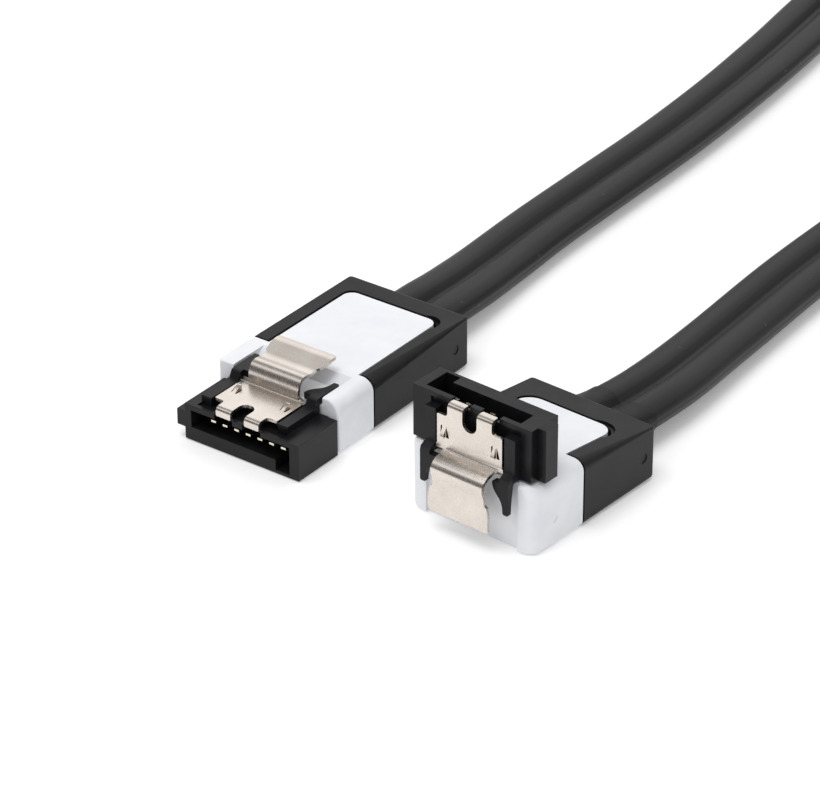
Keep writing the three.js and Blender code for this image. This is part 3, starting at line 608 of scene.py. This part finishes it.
def curve_points(controls, spacing):
    """Points along a centripetal curve through the controls, with a smoothly eased fourth value."""
    spots = [Vector(c[:3]) for c in controls]
    spots = [2 * spots[0] - spots[1], *spots, 2 * spots[-1] - spots[-2]]
    points = []
    for i in range(len(controls) - 1):
        p0, p1, p2, p3 = spots[i:i + 4]
        d0, d1, d2 = (math.sqrt((b - a).length) for a, b in ((p0, p1), (p1, p2), (p2, p3)))
        t1 = ((p1 - p0) / d0 - (p2 - p0) / (d0 + d1) + (p2 - p1) / d1) * d1
        t2 = ((p2 - p1) / d1 - (p3 - p1) / (d1 + d2) + (p3 - p2) / d2) * d1
        steps = max(2, round((p2 - p1).length / spacing))
        for k in range(steps):
            t = k / steps
            ease = t * t * (3 - 2 * t)
            at = (p1 + t1 * t + (3 * (p2 - p1) - 2 * t1 - t2) * t ** 2
                  + (2 * (p1 - p2) + t1 + t2) * t ** 3)
            points.append((at, controls[i][3] + (controls[i + 1][3] - controls[i][3]) * ease))
    return [*points, (spots[-2], controls[-1][3])]


def cable_route():
    """The middle line in millimetres in the shared frame, with its ends at the plugs' backs."""
    shift = MOULD_PLACE["straight"].translation
    first = shift + Vector((0, STRAIGHT["length"] + CABLE_GAP, CABLE_HEIGHT))
    last = MOULD_PLACE["angled"] @ Vector((0, ANGLED["length"] + CABLE_GAP, CABLE_HEIGHT))
    middle = [(x + shift.x, y + shift.y, z, twist) for x, y, z, twist in ROUTE]
    return curve_points([(*first, 0), *middle, (*last, 0)], 1.0)


def lobe_section():
    """The jacket's section as a closed smooth outline, in millimetres."""
    half = [*LOBE, (CABLE_WIDTH / 2, 0.0)]
    right = [*half, *[(x, -z) for x, z in reversed(half[:-1])]]
    whole = [*right, *[(-x, -z) for x, z in right[1:-1]]]
    count = len(whole)
    outline = []
    for i in range(count):
        p0, p1, p2, p3 = (Vector(whole[(i + k) % count]) for k in (-1, 0, 1, 2))
        for k in range(LOBE_STEPS):
            t = k / LOBE_STEPS
            outline.append(0.5 * (2 * p1 + (p2 - p0) * t + (2 * p0 - 5 * p1 + 4 * p2 - p3) * t ** 2
                                  + (3 * p1 - p0 - 3 * p2 + p3) * t ** 3))
    return outline


def add_jacket(route, tie):
    section = lobe_section()
    rings = []
    distance = [0.0]
    for i, (at, twist) in enumerate(route):
        tangent = (route[min(i + 1, len(route) - 1)][0] - route[max(i - 1, 0)][0]).normalized()
        side = Vector((0, 0, 1)).cross(tangent).normalized()
        normal = tangent.cross(side)
        cos, sin = math.cos(math.radians(twist)), math.sin(math.radians(twist))
        across, up = side * cos + normal * sin, normal * cos - side * sin
        rings.append([at + across * p.x + up * p.y for p in section])
        if i:
            distance.append(distance[-1] + (at - route[i - 1][0]).length)
    jacket = loft("jacket", rings)
    layer = jacket.data.uv_layers.new(name="along")
    count = len(section)
    for polygon in jacket.data.polygons:
        columns = [v % count for v in polygon.vertices]
        wraps = 0 in columns and count - 1 in columns and len(columns) == 4
        for loop, vertex in zip(polygon.loop_indices, polygon.vertices):
            column = vertex % count
            column = count if wraps and column == 0 else column
            layer.data[loop].uv = (column / count, distance[vertex // count] / 100)
    jacket.data.shade_smooth()
    placed(jacket, "cable_jacket_piece", Matrix.Identity(4))
    installed(jacket, "root", MATERIALS["jacket"], "cable_jacket")


# Mouldings


def side_at(sides, y):
    """The height and the radius of the right top edge at one y."""
    for (y0, *low), (y1, *high) in zip(sides, sides[1:]):
        if y <= y1:
            return [a + (b - a) * (y - y0) / (y1 - y0) for a, b in zip(low, high)]
    return sides[-1][1:]


def mould_blank(form, sink=0.0):
    """The outer form of both pieces of a moulding, before it is parted and hollowed."""
    end, length = form["end"], form["length"]
    stations = [(y, end - grow) for y, grow in arc((end, 0), end, 180, 90, 8)]
    stations += [(y, 0.0) for y, *_ in form["sides"][1:-1]]
    stations += [(y, MOULD_BACK_END - grow)
                 for y, grow in arc((length - MOULD_BACK_END, 0), MOULD_BACK_END, 90, 0, 8)]
    rings = []
    for y, inset in stations:
        side = MOULD_HALF - inset
        height, right = side_at(form["sides"], y)
        top = height - inset * MOULD_END_FALL - sink
        left = MOULD_LEFT_EDGE
        foot = MOULD_FOOT_EDGE
        outline = [
            *arc((side - foot, foot), foot, -90, 0, 5),
            *arc((side - right, top - right), right, 0, 90, 14),
            *arc((left - side, top - left), left, 90, 180, 4),
            *arc((foot - side, foot), foot, 180, 270, 5),
        ]
        rings.append([(x, y, z) for x, z in outline])
    return loft("blank", rings)


def panel(form, grow):
    """The outline, seen from above, of the pale panel between the frame's arms."""
    side = MOULD_HALF - form["arm"] + grow
    back = form["length"] - form["bar"] + grow
    corner = (side - form["corner"], back - form["corner"])
    return mirrored([(side, form["front"] - CLEAR), *arc(corner, form["corner"], 0, 90, 10)])


def mark(y, z, radius):
    """A shallow round mark in the right side."""
    return prism(arc((y, z), radius, 0, 345, 23), MOULD_HALF - MARK_DEPTH, MOULD_HALF + CLEAR, "X")


def mould_pieces(form):
    """The pale core and the dark frame of one moulding, before their recesses."""
    length, front = form["length"], form["front"]
    whole = (-2 * MOULD_HALF, 2 * MOULD_HALF)
    tall = (-CLEAR, 4 * MOULD_HALF)
    core = keep(mould_blank(form), block(whole, (-CLEAR, front), tall))
    sunk = keep(mould_blank(form, PANEL_SINK), prism(panel(form, -SEAM / 2), *tall, "Z"))
    join(core, sunk)
    cut(core, block((-PASSAGE_HALF, PASSAGE_HALF), (front, length), PASSAGE))
    shell = mould_blank(form)
    cut(shell, block(whole, (-CLEAR, front + SEAM), tall),
        prism(panel(form, SEAM / 2), *tall, "Z"),
        block((-PASSAGE_HALF, PASSAGE_HALF), (front, length + CLEAR), PASSAGE))
    corner, side = form["corner"], MOULD_HALF - form["arm"]
    pit = (side - corner + PIT_SHIFT, length - form["bar"] - corner + PIT_SHIFT)
    depth = side_at(form["sides"], pit[1])[0] - PIT_DEPTH
    cut(shell, prism(arc(pit, corner + PIT_SHIFT, 0, 350, 35), depth, 4 * MOULD_HALF, "Z"))
    for y, z, radius in form["marks"]:
        cut(core if y < front else shell, mark(y, z, radius))
    return core, shell


def collar(route):
    """The frame's rounded rise around the cable where it leaves the right-angled plug."""
    leaving = [at for at, _ in reversed(route)][:COLLAR_RINGS]
    inward = (leaving[0] - leaving[1]).normalized()
    middles = [leaving[0] + inward * COLLAR_OVERLAP, *leaving]
    side = (MOULD_PLACE["angled"].to_3x3() @ Vector((-1, 0, 0))).normalized()
    section = lobe_section()
    half = CABLE_WIDTH / 2
    rings = []
    for i, at in enumerate(middles):
        t = i / (len(middles) - 1)
        ease = 1 - (1 - t) ** 2
        wide = COLLAR_HALF + (half + COLLAR_FIT - COLLAR_HALF) * ease
        tall = COLLAR_RISE + (LOBE_TOP + COLLAR_FIT - COLLAR_RISE) * ease
        ring = []
        for p in section:
            across = abs(p.x) / half
            arch = max(1 - across ** COLLAR_SQUARE, 0) ** COLLAR_SHOULDER
            box = math.copysign(arch, p.y) if p.y else 0.0
            lobe = p.y / LOBE_TOP
            up = box * (1 - ease) + lobe * ease
            ring.append(at + Vector((0, 0, 1)) * up * tall + side * p.x / half * wide)
        rings.append(ring)
    return loft("collar", rings)


def finish_moulding(label, core, shell):
    for piece, name in ((core, "core"), (shell, "frame")):
        bevelled(cleaned(piece), MOULD_EDGE)
        placed(piece, f"mould_{name}_{label}_piece", MOULD_PLACE[label])
        installed(piece, "root", MATERIALS[name], f"mould_{name}_{label}")


def add_straight_moulding():
    core, shell = mould_pieces(STRAIGHT)
    height = STRAIGHT["sides"][0][1]
    floor, above = height - RECESS_DEPTH, height + CLEAR
    recess = [(-CLEAR, above), (-CLEAR, floor), (RECESS_FLAT, floor), (RECESS_LENGTH, height),
              (RECESS_LENGTH, above)]
    cut(core, prism(recess, -RECESS_HALF, RECESS_HALF, "X"), block(*STRAIGHT_WELL, PASSAGE))
    finish_moulding("straight", core, shell)


def add_angled_moulding(route):
    core, shell = mould_pieces(ANGLED)
    top = ANGLED_SEAT + CLEAR
    cut(core, block((-RECESS_HALF, RECESS_HALF), (-2 * CLEAR, RECESS_UPRIGHT), (-CLEAR, top)),
        block(*ANGLED_SHAFT, (PASSAGE[0], top)), block(*ANGLED_WELL, PASSAGE))
    rise = collar(route)
    rise.data.transform(MOULD_PLACE["angled"].inverted())
    join(shell, rise)
    finish_moulding("angled", core, shell)


# Housings, from their solids


def dressed(node, name, body, material, width, segments=3):
    """A copy of a solid with its edges rounded."""
    piece = link(name, frame["nodes"][node].data.copy())
    piece.data.transform(Matrix.Scale(1 / MM, 4))
    bevelled(cleaned(piece), width, segments)
    piece.data.transform(Matrix.Scale(MM, 4))
    return installed(piece, body, material, node)


# Latches


def latch_profile(lift, base):
    """The sheet's middle line, as (y, z) from the finger tips to the tab's end."""
    mid = PLATE_TOP - SHEET / 2
    turn = math.radians(lift)

    def turned(along, up):
        return (base + along * math.cos(turn) - up * math.sin(turn),
                mid + along * math.sin(turn) + up * math.cos(turn))

    end, rise = VALLEY_RUN + TAB_LENGTH, VALLEY_RISE + TAB_RISE
    return softened([
        (SHEET / 2, mid - FINGER_DROP), (SHEET / 2, mid), (base, mid),
        turned(RAMP_RUN, RAMP_RISE), turned(HUMP_RUN, HUMP_RISE), turned(VALLEY_RUN, VALLEY_RISE),
        turned(end - CURL_LENGTH, rise), turned(end, rise - CURL_DROP),
    ], BENDS)


def latch_outline(distance_at, base):
    """The flat sheet's outline, as (x, distance along the sheet)."""
    gap = FINGER_HALF_GAP
    finger = gap + FINGER_WIDTH
    shoulder = distance_at(PLATE_SHOULDER)
    notch = shoulder + NOTCH_DEPTH - gap
    foot = distance_at(base) - EAR_SETBACK
    end = distance_at(math.inf)
    valley = distance_at(base + VALLEY_RUN) + FLARE_SHIFT
    corner, tip, fillet = SHEET_CORNER, TAB_CORNER, FINGER_FILLET
    return mirrored([
        *arc((0, notch), gap, 85, 0, 8), *arc((gap + corner, corner), corner, 180, 270, 3),
        *arc((finger - corner, corner), corner, 270, 360, 3),
        *arc((finger + fillet, shoulder - fillet), fillet, 180, 90, 5),
        *arc((PLATE_HALF - corner, shoulder + corner), corner, 270, 360, 3),
        (PLATE_HALF, foot - EAR_FRONT), (PLATE_HALF + EAR_REACH, foot - EAR_SLOPE_END),
        (PLATE_HALF + EAR_REACH, foot),
        *arc((STRIP_HALF + STRIP_FILLET, foot + STRIP_FILLET), STRIP_FILLET, 270, 180, 4),
        (STRIP_HALF, valley - FLARE_LEAD),
        *arc((STRIP_HALF + TAB_SHOULDER, valley), TAB_SHOULDER, 180, 100, 3),
        (TAB_HALF, valley + FLARE_LENGTH), *arc((TAB_HALF - tip, end - tip), tip, 0, 90, 4),
    ])


def flat_sheet(outline, holes):
    """A flat face with holes, filled with triangles."""
    bm = bmesh.new()
    for loop in (outline, *holes):
        verts = [bm.verts.new((x, s, 0)) for x, s in loop]
        for a, b in zip(verts, [*verts[1:], verts[0]]):
            bm.edges.new((a, b))
    bmesh.ops.triangle_fill(bm, use_beauty=True, use_dissolve=False, edges=bm.edges)
    return bm


def add_latch(label):
    base = HOUSING_DEPTH[label] - FOOT_INSET
    profile = latch_profile(LATCH_LIFT[label], base)
    distances = [0.0]
    for a, b in zip(profile, profile[1:]):
        distances.append(distances[-1] + (b - a).length)

    def distance_at(y):
        """How far along the sheet, past its fingers, it first reaches one y."""
        for d0, d1, p0, p1 in zip(distances, distances[1:], profile, profile[1:]):
            if d0 > FINGER_DROP and p0.x <= y <= p1.x:
                return d0 + (d1 - d0) * (y - p0.x) / max(p1.x - p0.x, 1e-6)
        return distances[-1]

    rear = distance_at(base - BARB_SETBACK)
    front = rear - BARB_LENGTH
    holes = []
    for side in (-1, 1):
        left = side * (PLATE_HALF - BARB_INSET) - BARB_WIDTH / 2
        edge, slit = left - SLIT_GAP, left + BARB_WIDTH + SLIT_GAP
        far = slit + SLIT_WIDTH
        holes.append([(edge, front), (edge, rear), (edge - BARB_HOLE, rear)])
        holes.append([(slit, front), (far, front + SLIT_FRONT), (far, rear - SLIT_REAR),
                      (slit, rear - SLIT_HEEL)])
    bm = flat_sheet(latch_outline(distance_at, base), holes)
    for distance in distances[1:-1]:
        everything = [*bm.verts, *bm.edges, *bm.faces]
        bmesh.ops.bisect_plane(bm, geom=everything, plane_co=(0, distance, 0), plane_no=(0, 1, 0),
                               dist=1e-4)
    for vert in bm.verts:
        x, s = vert.co.x, vert.co.y
        k = max(i for i, d in enumerate(distances) if d <= s + 1e-4)
        k = min(k, len(profile) - 2)
        t = (s - distances[k]) / (distances[k + 1] - distances[k])
        at = profile[k].lerp(profile[k + 1], t)
        vert.co = (x, at.x, at.y)
    bmesh.ops.recalc_face_normals(bm, faces=bm.faces)
    mesh = bpy.data.meshes.new("latch")
    bm.to_mesh(mesh)
    bm.free()
    piece = link("latch", mesh)
    thicken = piece.modifiers.new("sheet", "SOLIDIFY")
    thicken.thickness = SHEET
    thicken.offset = 0.0
    settle(piece)
    for side in (-1, 1):
        join(piece, barb_tongue(side, base))
    bevelled(cleaned(piece, 0.3), SHEET_EDGE, 2, 40.0)
    placed(piece, f"latch_{label}_piece", HOUSING_PLACE[label])
    installed(piece, f"latch_{label}", MATERIALS["steel"], f"latch_{label}")


def barb_tongue(side, base):
    """A raised tongue that is lanced out of the plate."""
    rear = base - BARB_SETBACK
    front = rear - BARB_LENGTH
    tip, root, top = rear - BARB_GAP, PLATE_TOP - BARB_ROOT, PLATE_TOP + BARB_LIFT
    shape = [(front, root), (tip, root), (tip, top), (rear - BARB_BACK, top)]
    left = side * (PLATE_HALF - BARB_INSET) - BARB_WIDTH / 2
    return prism(shape, left, left + BARB_WIDTH, "X")


# Cable tie


def add_tie():
    return dressed("cable_tie", "cable_tie_piece", "root", MATERIALS["tie"], TIE_EDGE, 5)


# Everything else keeps its solid and gets its finish


def finish_kept_nodes():
    for name, node in frame["nodes"].items():
        if node.hide_render:
            continue
        for start, finish in KEPT_FINISHES.items():
            if name.startswith(start):
                node.data.materials.clear()
                node.data.materials.append(MATERIALS[finish]["made"])


# Floor and light


def add_floor():
    bpy.ops.mesh.primitive_plane_add(size=FLOOR_SIZE, location=(0, 0, -FLOOR_DROP))
    floor = bpy.context.object
    floor.name = "floor"
    material = bpy.data.materials.new("floor")
    material.use_nodes = True
    nodes, links = material.node_tree.nodes, material.node_tree.links
    shader = nodes["Principled BSDF"]
    cloud = noise(nodes, links, coordinates(nodes, links, (1, 1, 1)), FLOOR_CLOUDS, 2.0)
    links.new(ramp(nodes, links, cloud, [(0.3, (0.90, 0.90, 0.90)), (0.7, (0.92, 0.92, 0.92))]),
              shader.inputs["Base Color"])
    shader.inputs["Roughness"].default_value = 0.9
    shader.inputs["Emission Color"].default_value = (1.0, 1.0, 1.0, 1.0)
    shader.inputs["Emission Strength"].default_value = FLOOR_GLOW
    floor.data.materials.append(material)


def add_light(name, location, size, power):
    """A round lamp that faces the frame's origin, which is near the plugs."""
    data = bpy.data.lights.new(name, "AREA")
    data.shape = "DISK"
    data.size = size
    data.energy = power
    lamp = bpy.data.objects.new(name, data)
    lamp.location = location
    lamp.rotation_euler = Vector(location).to_track_quat("Z", "Y").to_euler()
    bpy.context.scene.collection.objects.link(lamp)


def shade_patch(nodes, links, direction, towards, width, depth):
    """A soft dark patch of the studio around one direction, as a factor."""
    dot = nodes.new("ShaderNodeVectorMath")
    dot.operation = "DOT_PRODUCT"
    dot.inputs[1].default_value = Vector(towards).normalized()
    links.new(direction, dot.inputs[0])
    fade = nodes.new("ShaderNodeMapRange")
    fade.interpolation_type = "SMOOTHSTEP"
    fade.inputs["From Min"].default_value = math.cos(math.radians(width))
    fade.inputs["From Max"].default_value = math.cos(math.radians(width * PATCH_CORE))
    fade.inputs["To Min"].default_value = 1.0
    fade.inputs["To Max"].default_value = 1.0 - depth
    links.new(dot.outputs["Value"], fade.inputs["Value"])
    return fade.outputs["Result"]


def add_world():
    world = bpy.data.worlds.new("studio")
    bpy.context.scene.world = world
    world.use_nodes = True
    nodes, links = world.node_tree.nodes, world.node_tree.links
    direction = nodes.new("ShaderNodeTexCoord").outputs["Generated"]
    parts = nodes.new("ShaderNodeSeparateXYZ")
    links.new(direction, parts.inputs["Vector"])
    color = ramp(nodes, links, parts.outputs["Z"], SKY)
    background = nodes["Background"]
    links.new(color, background.inputs["Color"])
    strength = nodes.new("ShaderNodeValue").outputs["Value"]
    strength.default_value = SKY_STRENGTH
    for towards, width, depth in DARK_PATCHES:
        product = nodes.new("ShaderNodeMath")
        product.operation = "MULTIPLY"
        links.new(shade_patch(nodes, links, direction, towards, width, depth), product.inputs[0])
        links.new(strength, product.inputs[1])
        strength = product.outputs["Value"]
    links.new(strength, background.inputs["Strength"])


add_camera()
cable = cable_route()
add_jacket(cable, add_tie())
add_straight_moulding()
add_angled_moulding(cable)
for label in ("straight", "angled"):
    dressed(f"housing_{label}", f"housing_{label}_piece", "root", MATERIALS["housing"],
            HOUSING_EDGE)
    add_latch(label)
finish_kept_nodes()
add_floor()
add_light("key", KEY_PLACE, KEY_SIZE, KEY_POWER)
add_world()
bpy.context.scene.view_settings.view_transform = "Standard"
